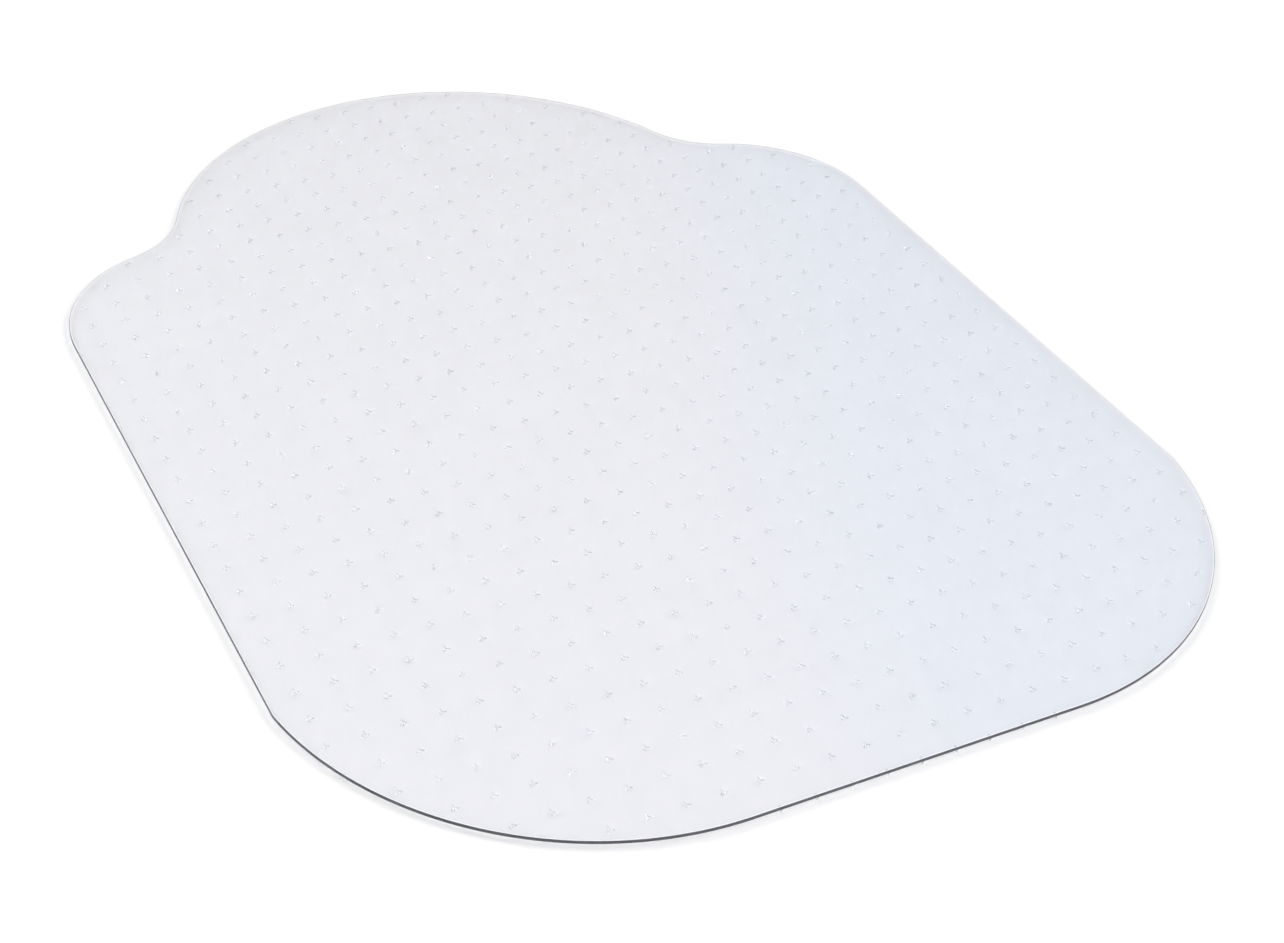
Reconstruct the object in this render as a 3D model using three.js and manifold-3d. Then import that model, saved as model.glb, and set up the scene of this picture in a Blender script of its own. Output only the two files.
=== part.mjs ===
// Chair mat with a lip: a flexible sheet of frosted clear vinyl that lies on carpet
// under a desk chair. The lip reaches under the desk, between its pedestals.
// Cleats moulded under the sheet press into the pile and keep the mat from sliding.
//
// Millimetres, +Z up. The origin is on the floor under the middle of the mat,
// +Y points to the lip and X runs across. The cleat tips rest on the plane z = 0.
//
// The web is made in two thicknesses here: a plain top sheet, and under it one strip
// of skin for each cross row of cleats, moulded in one with its cleats.

import * as THREE from 'three';
import { mergeVertices } from 'three/addons/utils/BufferGeometryUtils.js';
import Module from 'manifold-3d';

// Overall size
const matWidth = 914.4;
const matLength = 1219.2;      // rear edge to the tip of the lip

// Outline
const cornerRadius = 304;      // rear corners
const cornerCut = 4.3;         // the side lines trim this much off each corner's full circle
const shoulderRadius = 150;    // outer corners beside the lip
const shoulderSetback = 393.2; // from the tip of the lip back to where the shoulders start
const notchRadius = 100;       // hollow between a shoulder and the lip
const lipRadius = 316;         // round front of the lip

// Thicknesses
const topThickness = 1.75;     // plain top sheet
const skinThickness = 1;       // skin that carries the cleats
const cleatHeight = 3;

// Cleats
const cleatSides = 3;
const cleatReach = 4.5;        // centre to each corner, where the cleat leaves the skin
const tipReach = 2;            // centre to each corner of the flat tip
const cleatTurn = 95;          // degrees from +X round to the first corner
const cleatRoot = 0.5;         // how far the cleat's own solid runs up into the skin
const pitchAcross = 33.125;    // one column is on the centre line
const pitchAlong = 34.25;      // the first row is on the rear edge, which cuts it in half

// Fineness and trimming
const arcStep = 5;             // degrees of arc for each side of the outline
const trimMargin = 10;         // how far rough blocks stand out before they are trimmed

// Heights, from the floor up
const skinBottom = cleatHeight;
const skinTop = skinBottom + skinThickness;
const sheetTop = skinTop + topThickness;

const rearY = -matLength / 2;
const tipY = matLength / 2;
const sideX = matWidth / 2;

const vinyl = { color: 0xebedf1, roughness: 0.42, metalness: 0 };
const cleatVinyl = { color: 0xe2e5ea, roughness: 0.3, metalness: 0 };

const wasm = await Module();
wasm.setup();

const radians = THREE.MathUtils.degToRad;

// Points of an arc from one angle to another, in degrees, both ends included.
function arc(centreX, centreY, radius, from, to) {
  const steps = Math.max(2, Math.ceil(Math.abs(to - from) / arcStep));
  const points = [];
  for (let i = 0; i <= steps; i += 1) {
    const angle = radians(from + ((to - from) * i) / steps);
    points.push(new THREE.Vector2(
      centreX + radius * Math.cos(angle),
      centreY + radius * Math.sin(angle),
    ));
  }
  return points;
}

// Right half of the outline, from the rear edge round to the tip of the lip.
// The notch circle touches the shoulder circle and the lip circle from outside.
function rightOutline() {
  const cornerX = sideX + cornerCut - cornerRadius;
  const cornerEnd = -THREE.MathUtils.radToDeg(Math.acos((cornerRadius - cornerCut) / cornerRadius));
  const shoulder = new THREE.Vector2(sideX - shoulderRadius, tipY - shoulderSetback);
  const lip = new THREE.Vector2(0, tipY - lipRadius);

  const toNotch = shoulderRadius + notchRadius;
  const lipToNotch = lipRadius + notchRadius;
  const between = shoulder.clone().sub(lip);
  const apart = between.length();
  const along = (lipToNotch ** 2 - toNotch ** 2 + apart ** 2) / (2 * apart);
  const beside = Math.sqrt(lipToNotch ** 2 - along ** 2);
  const ahead = between.clone().normalize();
  const notch = new THREE.Vector2(
    lip.x + along * ahead.x - beside * ahead.y,
    lip.y + along * ahead.y + beside * ahead.x,
  );

  const bearing = (from, to) => {
    const angle = THREE.MathUtils.radToDeg(Math.atan2(to.y - from.y, to.x - from.x));
    return THREE.MathUtils.euclideanModulo(angle, 360);
  };
  return [
    ...arc(cornerX, rearY + cornerRadius, cornerRadius, -90, cornerEnd),
    ...arc(shoulder.x, shoulder.y, shoulderRadius, 0, bearing(shoulder, notch)),
    ...arc(notch.x, notch.y, notchRadius, bearing(notch, shoulder), bearing(notch, lip)).slice(1),
    ...arc(lip.x, lip.y, lipRadius, bearing(lip, notch), 90).slice(1),
  ];
}

const right = rightOutline();
const left = right.slice(0, -1).reverse().map((p) => new THREE.Vector2(-p.x, p.y));
const outline = [...right, ...left];

// Half the mat's width at a distance y along it, on the outline's own straight sides.
function halfWidth(y) {
  for (let i = 1; i < right.length; i += 1) {
    const [a, b] = [right[i - 1], right[i]];
    if (y >= a.y && y <= b.y && b.y > a.y) {
      return a.x + ((b.x - a.x) * (y - a.y)) / (b.y - a.y);
    }
  }
  return right[0].x;
}

// A flat block with the given outline, from one height to another.
function block(points, bottom, top) {
  const shape = new THREE.Shape(points);
  const geometry = new THREE.ExtrudeGeometry(shape, { depth: top - bottom, bevelEnabled: false });
  return geometry.translate(0, 0, bottom);
}

// A closed three.js geometry as a solid that can be joined and cut.
function solid(geometry) {
  const bare = geometry.clone();
  bare.deleteAttribute('normal');
  bare.deleteAttribute('uv');
  const merged = mergeVertices(bare, 1e-4);
  return new wasm.Manifold(new wasm.Mesh({
    numProp: 3,
    vertProperties: new Float32Array(merged.attributes.position.array),
    triVerts: new Uint32Array(merged.index.array),
  }));
}

function geometryOf(manifold) {
  const mesh = manifold.getMesh();
  const geometry = new THREE.BufferGeometry();
  geometry.setAttribute('position', new THREE.BufferAttribute(mesh.vertProperties, 3));
  geometry.setIndex(new THREE.BufferAttribute(mesh.triVerts, 1));
  geometry.computeVertexNormals();
  return geometry;
}

// One cleat: a three-cornered taper from inside the skin down to its flat tip on the
// floor. Its sides keep their slope up into the skin.
function cleat(x, y) {
  const widen = ((cleatReach - tipReach) * cleatRoot) / cleatHeight;
  const height = cleatHeight + cleatRoot;
  const geometry = new THREE.CylinderGeometry(cleatReach + widen, tipReach, height, cleatSides);
  geometry.rotateX(Math.PI / 2);
  geometry.rotateZ(radians(cleatTurn + 90));
  return solid(geometry.translate(x, y, height / 2));
}

// Where the cleats of a row stand: every column whose centre is on the mat.
function cleatPlaces(y) {
  const columns = Math.floor(halfWidth(y) / pitchAcross);
  const places = [];
  for (let column = -columns; column <= columns; column += 1) {
    places.push(column * pitchAcross);
  }
  return places;
}

// A strip of skin with one row of cleats, trimmed by the outline as the die cuts it.
function cleatRow(y, from, to, die) {
  const reach = sideX + trimMargin;
  let row = solid(block([
    new THREE.Vector2(-reach, from),
    new THREE.Vector2(reach, from),
    new THREE.Vector2(reach, to),
    new THREE.Vector2(-reach, to),
  ], skinBottom, skinTop));
  for (const x of cleatPlaces(y)) {
    row = row.add(cleat(x, y));
  }
  return geometryOf(row.intersect(die));
}

function named(name, geometry, look) {
  const mesh = new THREE.Mesh(geometry, new THREE.MeshStandardMaterial(look));
  mesh.name = name;
  return mesh;
}

const mat = new THREE.Group();
mat.add(named('top_sheet', block(outline, skinTop, sheetTop), vinyl));

const die = solid(block(outline, -trimMargin, sheetTop + trimMargin));
const lastRow = Math.floor((matLength - cleatReach) / pitchAlong);
for (let row = 0; row <= lastRow; row += 1) {
  const y = rearY + row * pitchAlong;
  const from = row === 0 ? rearY - trimMargin : rearY + (row - 0.5) * pitchAlong;
  const to = row === lastRow ? tipY + trimMargin : rearY + (row + 0.5) * pitchAlong;
  const name = `cleat_row_${String(row).padStart(2, '0')}`;
  mat.add(named(name, cleatRow(y, from, to, die), cleatVinyl));
}

export default mat;
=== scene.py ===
# Chair mat with a lip: frosted clear vinyl, smooth below, with rows of three-winged
# cleats. Metres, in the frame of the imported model: +Y towards the lip, floor at z = 0.
import math

import bmesh
import bpy
from mathutils import Matrix, Vector


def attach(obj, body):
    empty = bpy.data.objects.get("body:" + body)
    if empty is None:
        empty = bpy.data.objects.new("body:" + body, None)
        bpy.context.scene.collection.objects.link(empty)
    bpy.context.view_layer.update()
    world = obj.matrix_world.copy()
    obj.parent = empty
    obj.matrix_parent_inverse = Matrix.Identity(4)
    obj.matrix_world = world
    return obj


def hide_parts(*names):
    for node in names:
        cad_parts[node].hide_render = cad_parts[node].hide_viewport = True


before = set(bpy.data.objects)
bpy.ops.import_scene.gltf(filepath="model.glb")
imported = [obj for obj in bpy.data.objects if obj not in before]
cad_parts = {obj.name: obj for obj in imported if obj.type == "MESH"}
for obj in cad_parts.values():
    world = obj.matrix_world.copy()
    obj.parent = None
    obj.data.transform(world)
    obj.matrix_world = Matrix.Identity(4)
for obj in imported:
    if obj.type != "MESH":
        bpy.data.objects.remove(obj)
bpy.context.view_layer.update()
scene = bpy.context.scene
mm = 0.001


def linear(hexColour):
    # sRGB hex to the linear values that Blender's sockets take
    channels = []
    for at in (0, 2, 4):
        value = int(hexColour[at:at + 2], 16) / 255
        channels.append(value / 12.92 if value <= 0.04045 else ((value + 0.055) / 1.055) ** 2.4)
    return channels


def addNode(tree, kind, inputs=None, **settings):
    # inputs go by socket: a number or colour, a node (its first output), or (node, output)
    node = tree.nodes.new(kind)
    for key, value in settings.items():
        setattr(node, key, value)
    for key, value in (inputs or {}).items():
        if isinstance(value, bpy.types.Node):
            tree.links.new(value.outputs[0], node.inputs[key])
        elif isinstance(value, tuple) and isinstance(value[0], bpy.types.Node):
            tree.links.new(value[0].outputs[value[1]], node.inputs[key])
        else:
            node.inputs[key].default_value = value
    return node


def newMaterial(name):
    material = bpy.data.materials.new(name)
    material.use_nodes = True
    material.node_tree.nodes.clear()
    return material, material.node_tree


def objectFrom(name, bm):
    mesh = bpy.data.meshes.new(name)
    bm.to_mesh(mesh)
    bm.free()
    made = bpy.data.objects.new(name, mesh)
    scene.collection.objects.link(made)
    return made


studio = {
    "cameraAt": (-0.8393, -1.5661, 1.1991),
    "cameraAhead": (0.4035, 0.6932, -0.5971),
    "cameraRight": (0.8859, -0.4593, 0.0655),
    "lens": 59.91,            # mm on a 36 mm wide sensor
    # suns: degrees from +X round to it, degrees above the floor, strength
    "suns": {
        "highRight": (-12, 52, 0.72),
        "highFar": (114, 52, 0.72),
        "lowRight": (-12, 32, 0.72),
        "lowFar": (114, 32, 0.72),
    },
    "sunWidth": 46,           # degrees across, for soft shadows
    "skyStrength": 0.54,
    "floorColour": "f6f6f7",
    "floorHalf": 40,
    "floorDrop": 0.05,        # mm below the cleat tips, so that no two faces lie in one plane
}


def makeCamera():
    data = bpy.data.cameras.new("camera")
    camera = bpy.data.objects.new("camera", data)
    scene.collection.objects.link(camera)
    data.sensor_width = 36
    data.lens = studio["lens"]
    data.clip_end = 60
    ahead = Vector(studio["cameraAhead"]).normalized()
    right = Vector(studio["cameraRight"])
    right = (right - ahead * right.dot(ahead)).normalized()
    up = right.cross(ahead)
    turn = Matrix((right, up, -ahead)).transposed().to_4x4()
    camera.matrix_world = Matrix.Translation(studio["cameraAt"]) @ turn
    scene.camera = camera


def makeLight():
    for name, (around, height, strength) in studio["suns"].items():
        sun = bpy.data.lights.new(name, "SUN")
        sun.energy = strength
        sun.angle = math.radians(studio["sunWidth"])
        piece = bpy.data.objects.new(name, sun)
        scene.collection.objects.link(piece)
        flat = math.cos(math.radians(height))
        toSun = Vector((
            flat * math.cos(math.radians(around)),
            flat * math.sin(math.radians(around)),
            math.sin(math.radians(height)),
        ))
        piece.location = toSun * 4
        piece.rotation_euler = (-toSun).to_track_quat("-Z", "Y").to_euler()
    world = bpy.data.worlds.new("studio")
    scene.world = world
    world.use_nodes = True
    sky = world.node_tree.nodes["Background"]
    sky.inputs["Color"].default_value = (1, 1, 1, 1)
    sky.inputs["Strength"].default_value = studio["skyStrength"]


def makeFloor():
    bm = bmesh.new()
    bmesh.ops.create_grid(bm, x_segments=2, y_segments=2, size=studio["floorHalf"])
    bmesh.ops.translate(bm, verts=bm.verts, vec=(0, 0, -studio["floorDrop"] * mm))
    floor = objectFrom("floor", bm)
    material, tree = newMaterial("paintedStudioFloor")
    shader = addNode(tree, "ShaderNodeBsdfPrincipled", {
        "Base Color": (*linear(studio["floorColour"]), 1),
        "Roughness": 0.9,
        "Specular IOR Level": 0.1,
    })
    addNode(tree, "ShaderNodeOutputMaterial", {"Surface": (shader, "BSDF")})
    floor.data.materials.append(material)


scene.view_settings.view_transform = "Standard"
# the glossy filter roughens glass behind glass, and would take about 40% of the light
# from under the mat
scene.cycles.blur_glossy = 0.0
scene.cycles.max_bounces = 24
scene.cycles.glossy_bounces = 16
scene.cycles.diffuse_bounces = 6
scene.cycles.transmission_bounces = 24
makeCamera()
makeLight()
makeFloor()
print("camera, light and floor made")


vinyl = {
    "clearTint": "f6f6f8",
    "paintedBlueLightTint": "f0f4fa",
    "castWay": (0.94, -0.34, 0),  # the painted blue light deepens to the right and a little to the rear
    "castFrom": 0.05,         # metres from the middle that way to where the blue starts
    "castTo": 0.3,            # and to where it is full
    "refraction": 1.53,
    "clearness": 0.9,         # how much of the light passes the top face; the rest is haze
    "grainSize": 1.1,         # mm, rolled grain of the top face, drawn coarser than the real 0.3
    "grainHeight": 0.012,     # mm
    "topRoughness": 0.22,
    "underRoughness": 0.14,
    # painted shade on the cut edge: dark greys that stand in for the dark line a clear edge shows
    "cutPaintedShadeDark": "3a3c41",
    "cutPaintedShadeLight": "54575d",
    # painted highlight: the near-white rim colour stands in for light caught along the top edge
    "rimPaintedHighlight": "f6f5fb",
    "knifeSpacing": 1.6,      # mm between the marks that the die knife leaves on the edge
}


def frostedTop():
    # Calendered flexible PVC with a fine matt grain: light goes through but blurs, so
    # what lies under it looks soft and grey. A faint blue cast is painted across it, deeper to the
    # right: a painted tint that stands in for bluish light reflected onto the sheet.
    material, tree = newMaterial("frostedRolledPvc")
    place = addNode(tree, "ShaderNodeTexCoord")
    slant = addNode(tree, "ShaderNodeVectorMath", {
        0: (place, "Object"),
        1: vinyl["castWay"],
    }, operation="DOT_PRODUCT")
    clouds = addNode(tree, "ShaderNodeTexNoise", {
        "Vector": (place, "Object"),
        "Scale": 2.2,
        "Detail": 2.0,
    })
    across = addNode(tree, "ShaderNodeMapRange", {
        "Value": (slant, "Value"),
        "From Min": vinyl["castFrom"],
        "From Max": vinyl["castTo"],
    })
    # painted blue light: this share blends the clear tint towards a blue that stands in for bluish
    # reflected light, not a colour of the PVC
    paintedBlueLightShare = addNode(tree, "ShaderNodeMix", {
        "Factor": 0.3,
        "A": (across, "Result"),
        "B": (clouds, "Fac"),
    }, data_type="FLOAT")
    tint = addNode(tree, "ShaderNodeValToRGB", {"Fac": (paintedBlueLightShare, "Result")})
    tint.color_ramp.elements[0].position = 0.2
    tint.color_ramp.elements[0].color = (*linear(vinyl["clearTint"]), 1)
    tint.color_ramp.elements[1].position = 0.85
    tint.color_ramp.elements[1].color = (*linear(vinyl["paintedBlueLightTint"]), 1)
    fine = addNode(tree, "ShaderNodeTexNoise", {
        "Vector": (place, "Object"),
        "Scale": 1 / (vinyl["grainSize"] * mm),
        "Detail": 3.0,
        "Roughness": 0.6,
    })
    handling = addNode(tree, "ShaderNodeTexNoise", {
        "Vector": (place, "Object"),
        "Scale": 7.0,
        "Detail": 4.0,
    })
    gloss = addNode(tree, "ShaderNodeMapRange", {
        "Value": (handling, "Fac"),
        "From Min": 0.3,
        "From Max": 0.7,
        "To Min": vinyl["topRoughness"] - 0.03,
        "To Max": vinyl["topRoughness"] + 0.03,
    })
    bump = addNode(tree, "ShaderNodeBump", {
        "Height": (fine, "Fac"),
        "Strength": 0.5,
        "Distance": vinyl["grainHeight"] * mm,
    })
    shader = addNode(tree, "ShaderNodeBsdfPrincipled", {
        "Base Color": (tint, "Color"),
        "Roughness": (gloss, "Result"),
        "Normal": (bump, "Normal"),
        "IOR": vinyl["refraction"],
        "Transmission Weight": vinyl["clearness"],
    })
    addNode(tree, "ShaderNodeOutputMaterial", {"Surface": (shader, "BSDF")})
    return material


def polishedUnder():
    # The same PVC off a polished roll: clear and glossy, with faint flow marks.
    material, tree = newMaterial("polishedPvcUnderside")
    place = addNode(tree, "ShaderNodeTexCoord")
    flow = addNode(tree, "ShaderNodeTexNoise", {
        "Vector": (place, "Object"),
        "Scale": 24.0,
        "Detail": 3.0,
        "Distortion": 0.6,
    })
    gloss = addNode(tree, "ShaderNodeMapRange", {
        "Value": (flow, "Fac"),
        "From Min": 0.3,
        "From Max": 0.7,
        "To Min": vinyl["underRoughness"] - 0.03,
        "To Max": vinyl["underRoughness"] + 0.04,
    })
    tint = addNode(tree, "ShaderNodeValToRGB", {"Fac": (flow, "Fac")})
    tint.color_ramp.elements[0].color = (*linear("f9fafd"), 1)
    tint.color_ramp.elements[1].color = (*linear("fdfdff"), 1)
    shader = addNode(tree, "ShaderNodeBsdfPrincipled", {
        "Base Color": (tint, "Color"),
        "Roughness": (gloss, "Result"),
        "IOR": vinyl["refraction"],
        "Transmission Weight": 1.0,
    })
    addNode(tree, "ShaderNodeOutputMaterial", {"Surface": (shader, "BSDF")})
    return material


def dieCutEdge():
    # PVC cut by a steel-rule die, with faint knife marks. Looking in through the cut, the eye
    # meets the whole width of the mat, so the face looks dark. That dark is painted shade here:
    # a smoky grey colour that stands in for what refraction and the shaded gap below show.
    material, tree = newMaterial("dieCutPvcEdgePaintedShade")
    place = addNode(tree, "ShaderNodeTexCoord")
    marks = addNode(tree, "ShaderNodeTexNoise", {
        "Vector": (place, "Object"),
        "Scale": 1 / (vinyl["knifeSpacing"] * mm),
        "Detail": 2.0,
    })
    # painted shade: dark greys on the cut face, varied by the knife marks
    tint = addNode(tree, "ShaderNodeValToRGB", {"Fac": (marks, "Fac")})
    tint.color_ramp.elements[0].position = 0.3
    tint.color_ramp.elements[0].color = (*linear(vinyl["cutPaintedShadeDark"]), 1)
    tint.color_ramp.elements[1].position = 0.7
    tint.color_ramp.elements[1].color = (*linear(vinyl["cutPaintedShadeLight"]), 1)
    bump = addNode(tree, "ShaderNodeBump", {
        "Height": (marks, "Fac"),
        "Strength": 0.4,
        "Distance": 0.03 * mm,
    })
    shader = addNode(tree, "ShaderNodeBsdfPrincipled", {
        "Base Color": (tint, "Color"),
        "Normal": (bump, "Normal"),
        "IOR": vinyl["refraction"],
        "Transmission Weight": 0.4,
        "Roughness": 0.35,
    })
    addNode(tree, "ShaderNodeOutputMaterial", {"Surface": (shader, "BSDF")})
    return material


def paintedHighlightRim():
    # The top edge beside the cut, as a fine bright rim: a painted highlight that stands in
    # for the light the edge catches.
    material, tree = newMaterial("paintedHighlightPvcRim")
    place = addNode(tree, "ShaderNodeTexCoord")
    marks = addNode(tree, "ShaderNodeTexNoise", {
        "Vector": (place, "Object"),
        "Scale": 1 / (vinyl["knifeSpacing"] * mm),
        "Detail": 2.0,
    })
    # painted highlight: near-white to white, varied by the knife marks
    tint = addNode(tree, "ShaderNodeValToRGB", {"Fac": (marks, "Fac")})
    tint.color_ramp.elements[0].position = 0.3
    tint.color_ramp.elements[0].color = (*linear(vinyl["rimPaintedHighlight"]), 1)
    tint.color_ramp.elements[1].position = 0.7
    tint.color_ramp.elements[1].color = (*linear("ffffff"), 1)
    shader = addNode(tree, "ShaderNodeBsdfPrincipled", {
        "Base Color": (tint, "Color"),
        "IOR": vinyl["refraction"],
        "Transmission Weight": 0.4,
        "Roughness": 0.45,
    })
    addNode(tree, "ShaderNodeOutputMaterial", {"Surface": (shader, "BSDF")})
    return material


frosted = frostedTop()
polished = polishedUnder()
cutEdge = dieCutEdge()
rim = paintedHighlightRim()
print("materials made")


sheet = {
    "width": 914.4,
    "length": 1219.2,
    "cornerRadius": 304,
    "cornerCut": 4.3,         # how much the side lines trim off each rear corner's circle
    "shoulderRadius": 150,
    "shoulderSetback": 393.2,
    "notchRadius": 100,
    "lipRadius": 316,
    "arcStep": 1.5,           # degrees of arc for each side
    "underside": 3.0,         # height of the underside: the cleats' length
    "thickness": 2.75,
    "edgeRound": 0.6,         # rounded top edge
    "edgeSteps": 5,
    "rimWidth": 0.9,          # strip on top, inside the rounding, that carries the painted highlight
    "sharpAngle": 40,         # degrees; edges sharper than this don't blend
    "rings": (0.996, 0.93, 0.8, 0.6, 0.4, 0.2),  # loops inside the faces, as shares of the outline
}


def arcPoints(centre, radius, start, stop):
    steps = max(2, math.ceil(abs(stop - start) / sheet["arcStep"]))
    points = []
    for i in range(steps + 1):
        angle = math.radians(start + (stop - start) * i / steps)
        points.append(centre + radius * Vector((math.cos(angle), math.sin(angle))))
    return points


def bearing(start, stop):
    return math.degrees(math.atan2(stop.y - start.y, stop.x - start.x)) % 360


def matOutline():
    # millimetres, anticlockwise from the right end of the rear edge
    halfWide = sheet["width"] / 2
    halfLong = sheet["length"] / 2
    radius = sheet["cornerRadius"]
    corner = Vector((halfWide + sheet["cornerCut"] - radius, radius - halfLong))
    cornerEnd = -math.degrees(math.acos((radius - sheet["cornerCut"]) / radius))
    shoulder = Vector((halfWide - sheet["shoulderRadius"], halfLong - sheet["shoulderSetback"]))
    lip = Vector((0, halfLong - sheet["lipRadius"]))
    # the notch circle touches the shoulder circle and the lip circle from outside
    toNotch = sheet["shoulderRadius"] + sheet["notchRadius"]
    lipToNotch = sheet["lipRadius"] + sheet["notchRadius"]
    apart = (shoulder - lip).length
    along = (lipToNotch ** 2 - toNotch ** 2 + apart ** 2) / (2 * apart)
    beside = math.sqrt(lipToNotch ** 2 - along ** 2)
    ahead = (shoulder - lip).normalized()
    notch = lip + along * ahead + beside * Vector((-ahead.y, ahead.x))
    right = arcPoints(corner, radius, -90, cornerEnd)
    right += arcPoints(shoulder, sheet["shoulderRadius"], 0, bearing(shoulder, notch))
    right += arcPoints(notch, sheet["notchRadius"], bearing(notch, shoulder), bearing(notch, lip))[1:]
    right += arcPoints(lip, sheet["lipRadius"], bearing(lip, notch), 90)[1:]
    left = [Vector((-p.x, p.y)) for p in reversed(right[:-1])]
    return right + left


def inwardNormals(points):
    normals = []
    for i, point in enumerate(points):
        before = (point - points[i - 1]).normalized()
        after = (points[(i + 1) % len(points)] - point).normalized()
        run = (before + after).normalized()
        normals.append(Vector((-run.y, run.x)))
    return normals


def ring(bm, points, height):
    return [bm.verts.new((p.x * mm, p.y * mm, height * mm)) for p in points]


def bridge(bm, lower, upper, material):
    for i in range(len(lower)):
        j = (i + 1) % len(lower)
        face = bm.faces.new((lower[i], lower[j], upper[j], upper[i]))
        face.material_index = material
        face.smooth = True


def fill(bm, edge, points, height, material):
    # closes a flat face with loops that shrink to the middle, and a fan
    last = edge
    for share in sheet["rings"]:
        inner = ring(bm, [p * share for p in points], height)
        bridge(bm, last, inner, material)
        last = inner
    middle = bm.verts.new((0, 0, height * mm))
    for i in range(len(last)):
        face = bm.faces.new((last[i], last[(i + 1) % len(last)], middle))
        face.material_index = material
        face.smooth = True


def makeSheet(outline):
    bm = bmesh.new()
    normals = inwardNormals(outline)
    low = sheet["underside"]
    high = low + sheet["thickness"]
    radius = sheet["edgeRound"]
    bottom = ring(bm, outline, low)
    side = ring(bm, outline, high - radius)
    bridge(bm, bottom, side, 2)
    last = side
    for step in range(1, sheet["edgeSteps"] + 1):
        angle = math.radians(90 * step / sheet["edgeSteps"])
        inset = radius * (1 - math.cos(angle))
        points = [p + n * inset for p, n in zip(outline, normals)]
        loop = ring(bm, points, high - radius + radius * math.sin(angle))
        bridge(bm, last, loop, 2)
        last = loop
    inside = [p + n * (radius + sheet["rimWidth"]) for p, n in zip(outline, normals)]
    inner = ring(bm, inside, high)
    # the rim strip inside the rounding gets the painted highlight
    bridge(bm, last, inner, 3)
    fill(bm, inner, inside, high, 0)
    underside = len(bm.faces)
    fill(bm, bottom, outline, low, 1)
    bm.faces.ensure_lookup_table()
    for face in bm.faces[underside:]:
        face.normal_flip()
    piece = objectFrom("frosted_sheet", bm)
    piece.data.set_sharp_from_angle(angle=math.radians(sheet["sharpAngle"]))
    for material in (frosted, polished, cutEdge, rim):
        piece.data.materials.append(material)
    return piece


outline = matOutline()
frostedSheet = makeSheet(outline)
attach(frostedSheet, "root")
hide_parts("top_sheet")
print("sheet made with", len(frostedSheet.data.polygons), "faces")


cleats = {
    "pitchAcross": 33.125,
    "pitchAlong": 34.25,
    "columns": 27,
    "rows": 36,
    "wings": 3,
    "wingReach": 4.5,         # mm from the middle to the end of a wing, at the sheet
    "wingWaist": 1.5,         # and to the hollow between two wings
    "wingTurn": 95,           # degrees
    "wingPinch": 2.2,         # how sharply the wings narrow
    "cornersRound": 18,
    "length": 3.0,
    "seat": 0.01,             # mm left between a cleat and the sheet
    # loop by loop from the tip up: place in the drum, height, width, as shares
    "profile": ((0.0, 0.0, 0.4), (1 / 3, 0.05, 0.45), (2 / 3, 0.92, 0.93), (1.0, 1.0, 1.0)),
}


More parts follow.
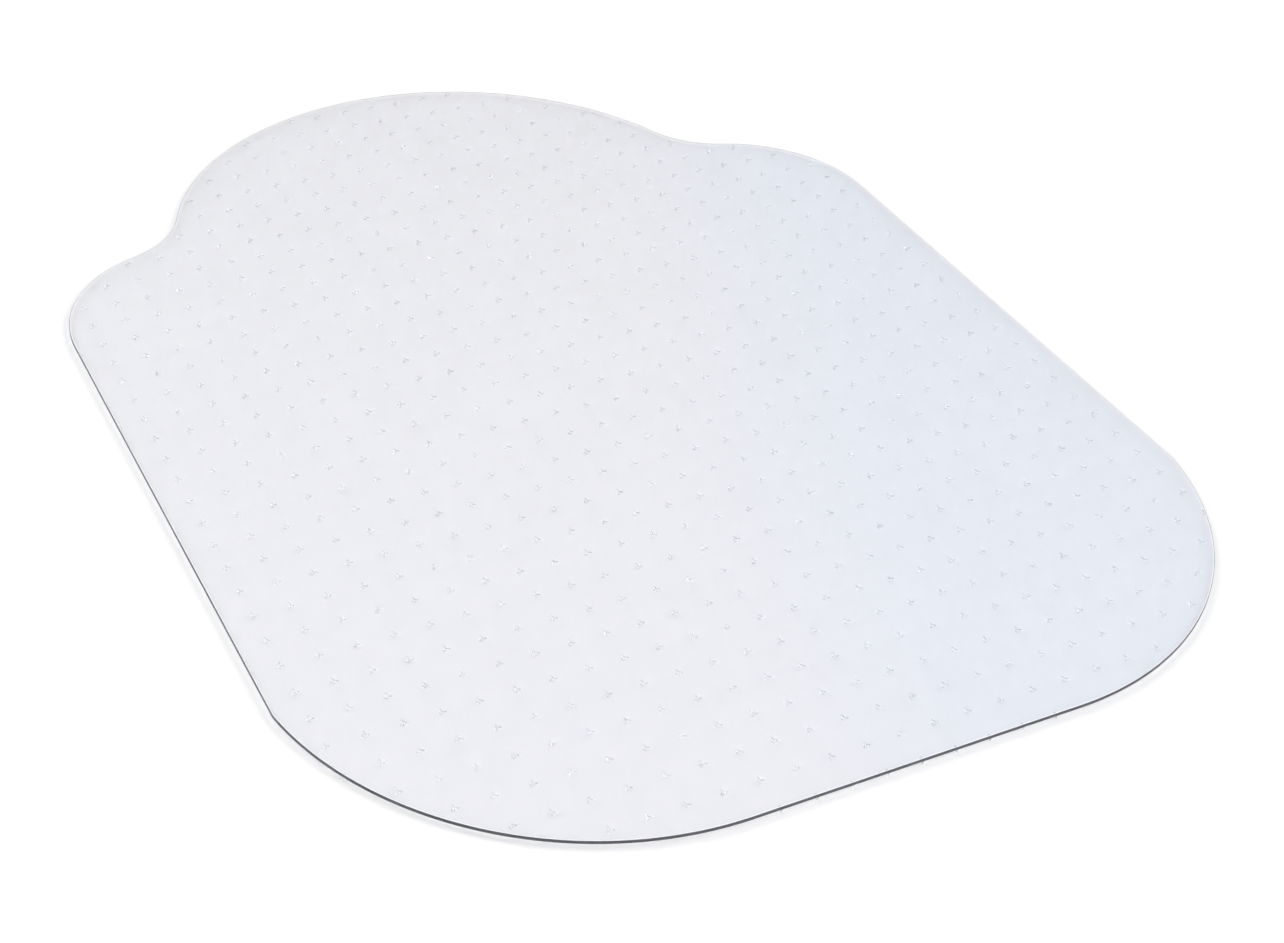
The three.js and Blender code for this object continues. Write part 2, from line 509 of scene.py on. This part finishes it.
def cleatTree():
    # a grid of points, kept where the sheet is above them, with a cleat on each
    tree = bpy.data.node_groups.new("cleatRows", "GeometryNodeTree")
    face = tree.interface
    face.new_socket("Geometry", in_out="INPUT", socket_type="NodeSocketGeometry")
    sizes = {}
    for name, kind, value in (
        ("Sheet", "NodeSocketObject", None),
        ("Columns", "NodeSocketInt", cleats["columns"]),
        ("Rows", "NodeSocketInt", cleats["rows"]),
        ("Pitch Across", "NodeSocketFloat", cleats["pitchAcross"] * mm),
        ("Pitch Along", "NodeSocketFloat", cleats["pitchAlong"] * mm),
        ("First Row", "NodeSocketFloat", -sheet["length"] / 2 * mm),
        ("Length", "NodeSocketFloat", (cleats["length"] - cleats["seat"]) * mm),
        ("Reach", "NodeSocketFloat", cleats["wingReach"] * mm),
        ("Waist", "NodeSocketFloat", cleats["wingWaist"] * mm),
        ("Turn", "NodeSocketFloat", math.radians(cleats["wingTurn"])),
        ("Finish", "NodeSocketMaterial", None),
    ):
        socket = face.new_socket(name, in_out="INPUT", socket_type=kind)
        if value is not None:
            socket.default_value = value
        sizes[name] = socket.identifier
    face.new_socket("Geometry", in_out="OUTPUT", socket_type="NodeSocketGeometry")
    start = addNode(tree, "NodeGroupInput")

    # where the cleats stand
    columnGaps = addNode(tree, "ShaderNodeMath", {0: (start, "Columns"), 1: 1}, operation="SUBTRACT")
    spanX = addNode(tree, "ShaderNodeMath", {
        0: columnGaps,
        1: (start, "Pitch Across"),
    }, operation="MULTIPLY")
    rowGaps = addNode(tree, "ShaderNodeMath", {0: (start, "Rows"), 1: 1}, operation="SUBTRACT")
    spanY = addNode(tree, "ShaderNodeMath", {
        0: rowGaps,
        1: (start, "Pitch Along"),
    }, operation="MULTIPLY")
    grid = addNode(tree, "GeometryNodeMeshGrid", {
        "Size X": spanX,
        "Size Y": spanY,
        "Vertices X": (start, "Columns"),
        "Vertices Y": (start, "Rows"),
    })
    shiftY = addNode(tree, "ShaderNodeMath", {
        0: spanY,
        1: 0.5,
        2: (start, "First Row"),
    }, operation="MULTIPLY_ADD")
    shift = addNode(tree, "ShaderNodeCombineXYZ", {"Y": shiftY})
    placed = addNode(tree, "GeometryNodeSetPosition", {
        "Geometry": (grid, "Mesh"),
        "Offset": shift,
    })
    above = addNode(tree, "GeometryNodeObjectInfo", {"Object": (start, "Sheet")})
    here = addNode(tree, "GeometryNodeInputPosition")
    # the first row stands on the rear edge, so it is looked for just inside
    nudged = addNode(tree, "ShaderNodeVectorMath", {
        0: here,
        1: (0.9999, 0.9999, 1.0),
    }, operation="MULTIPLY")
    covered = addNode(tree, "GeometryNodeRaycast", {
        "Target Geometry": (above, "Geometry"),
        "Source Position": nudged,
        "Ray Direction": (0, 0, 1),
        "Ray Length": 0.1,
    })

    # one cleat: a drum whose loops are drawn in to a winged section and tapered
    drum = addNode(tree, "GeometryNodeMeshCylinder", {
        "Vertices": cleats["cornersRound"],
        "Side Segments": len(cleats["profile"]) - 1,
        "Radius": 1.0,
        "Depth": (start, "Length"),
    })
    split = addNode(tree, "ShaderNodeSeparateXYZ", {"Vector": here})
    rise = addNode(tree, "ShaderNodeMath", {
        0: (split, "Z"),
        1: (start, "Length"),
    }, operation="DIVIDE")
    share = addNode(tree, "ShaderNodeMath", {0: rise, 1: 0.5}, operation="ADD")
    curves = []
    for column in (1, 2):
        curve = addNode(tree, "ShaderNodeFloatCurve", {"Value": share})
        points = curve.mapping.curves[0].points
        for _ in cleats["profile"][2:]:
            points.new(0.5, 0.5)
        for point, row in zip(points, cleats["profile"]):
            point.location = (row[0], row[column])
            point.handle_type = "VECTOR"
        curve.mapping.update()
        curves.append(curve)
    heights, widths = curves

    # the wings: how far out each corner of the drum goes, and which way
    around = addNode(tree, "ShaderNodeMath", {
        0: (split, "Y"),
        1: (split, "X"),
    }, operation="ARCTAN2")
    corner = addNode(tree, "ShaderNodeMath", {
        0: around,
        1: math.pi / cleats["cornersRound"],
    }, operation="ADD")
    swing = addNode(tree, "ShaderNodeMath", {0: corner, 1: cleats["wings"]}, operation="MULTIPLY")
    wave = addNode(tree, "ShaderNodeMath", {0: swing}, operation="COSINE")
    lobe = addNode(tree, "ShaderNodeMath", {0: wave, 1: 0.5, 2: 0.5}, operation="MULTIPLY_ADD")
    bulge = addNode(tree, "ShaderNodeMath", {0: lobe, 1: cleats["wingPinch"]}, operation="POWER")
    beyond = addNode(tree, "ShaderNodeMath", {
        0: (start, "Reach"),
        1: (start, "Waist"),
    }, operation="SUBTRACT")
    fullRadius = addNode(tree, "ShaderNodeMath", {
        0: bulge,
        1: beyond,
        2: (start, "Waist"),
    }, operation="MULTIPLY_ADD")
    radius = addNode(tree, "ShaderNodeMath", {0: fullRadius, 1: widths}, operation="MULTIPLY")
    turned = addNode(tree, "ShaderNodeMath", {0: corner, 1: (start, "Turn")}, operation="ADD")
    turnedCos = addNode(tree, "ShaderNodeMath", {0: turned}, operation="COSINE")
    turnedSin = addNode(tree, "ShaderNodeMath", {0: turned}, operation="SINE")
    wingX = addNode(tree, "ShaderNodeMath", {0: radius, 1: turnedCos}, operation="MULTIPLY")
    wingY = addNode(tree, "ShaderNodeMath", {0: radius, 1: turnedSin}, operation="MULTIPLY")
    wingZ = addNode(tree, "ShaderNodeMath", {
        0: heights,
        1: (start, "Length"),
    }, operation="MULTIPLY")
    winged = addNode(tree, "ShaderNodeCombineXYZ", {"X": wingX, "Y": wingY, "Z": wingZ})
    lifted = addNode(tree, "GeometryNodeSetPosition", {
        "Geometry": (drum, "Mesh"),
        "Position": winged,
    })
    onPoints = addNode(tree, "GeometryNodeInstanceOnPoints", {
        "Points": (placed, "Geometry"),
        "Selection": (covered, "Is Hit"),
        "Instance": (lifted, "Geometry"),
    })
    real = addNode(tree, "GeometryNodeRealizeInstances", {"Geometry": onPoints})
    dressed = addNode(tree, "GeometryNodeSetMaterial", {
        "Geometry": real,
        "Material": (start, "Finish"),
    })
    addNode(tree, "NodeGroupOutput", {0: dressed})
    return tree, sizes


def makeDie(points):
    # the outline as a closed prism, which trims the cleats at the border
    bm = bmesh.new()
    low = ring(bm, points, -1)
    high = ring(bm, points, cleats["length"] + 1)
    bridge(bm, low, high, 0)
    fill(bm, high, points, cleats["length"] + 1, 0)
    above = len(bm.faces)
    fill(bm, low, points, -1, 0)
    bm.faces.ensure_lookup_table()
    for face in bm.faces[above:]:
        face.normal_flip()
    die = objectFrom("die", bm)
    die.data.materials.append(polished)
    return die


def makeCleats(points):
    tree, sizes = cleatTree()
    maker = bpy.data.objects.new("cleatMaker", bpy.data.meshes.new("cleatMaker"))
    scene.collection.objects.link(maker)
    grow = maker.modifiers.new("cleatRows", "NODES")
    grow.node_group = tree
    grow[sizes["Sheet"]] = frostedSheet
    grow[sizes["Finish"]] = polished
    die = makeDie(points)
    trim = maker.modifiers.new("trim", "BOOLEAN")
    trim.operation = "INTERSECT"
    trim.solver = "MANIFOLD"
    trim.object = die
    ready = maker.evaluated_get(bpy.context.evaluated_depsgraph_get())
    mesh = bpy.data.meshes.new_from_object(ready)
    mesh.name = "cleats"
    mesh.materials.clear()
    mesh.materials.append(polished)
    for face in mesh.polygons:
        face.material_index = 0
        face.use_smooth = False
    piece = bpy.data.objects.new("cleats", mesh)
    scene.collection.objects.link(piece)
    bpy.data.objects.remove(maker)
    bpy.data.objects.remove(die)
    bpy.data.node_groups.remove(tree)
    return piece


cleatField = makeCleats(outline)
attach(cleatField, "root")
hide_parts(*[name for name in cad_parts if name.startswith("cleat_row_")])
print("cleats made with", len(cleatField.data.polygons), "faces")
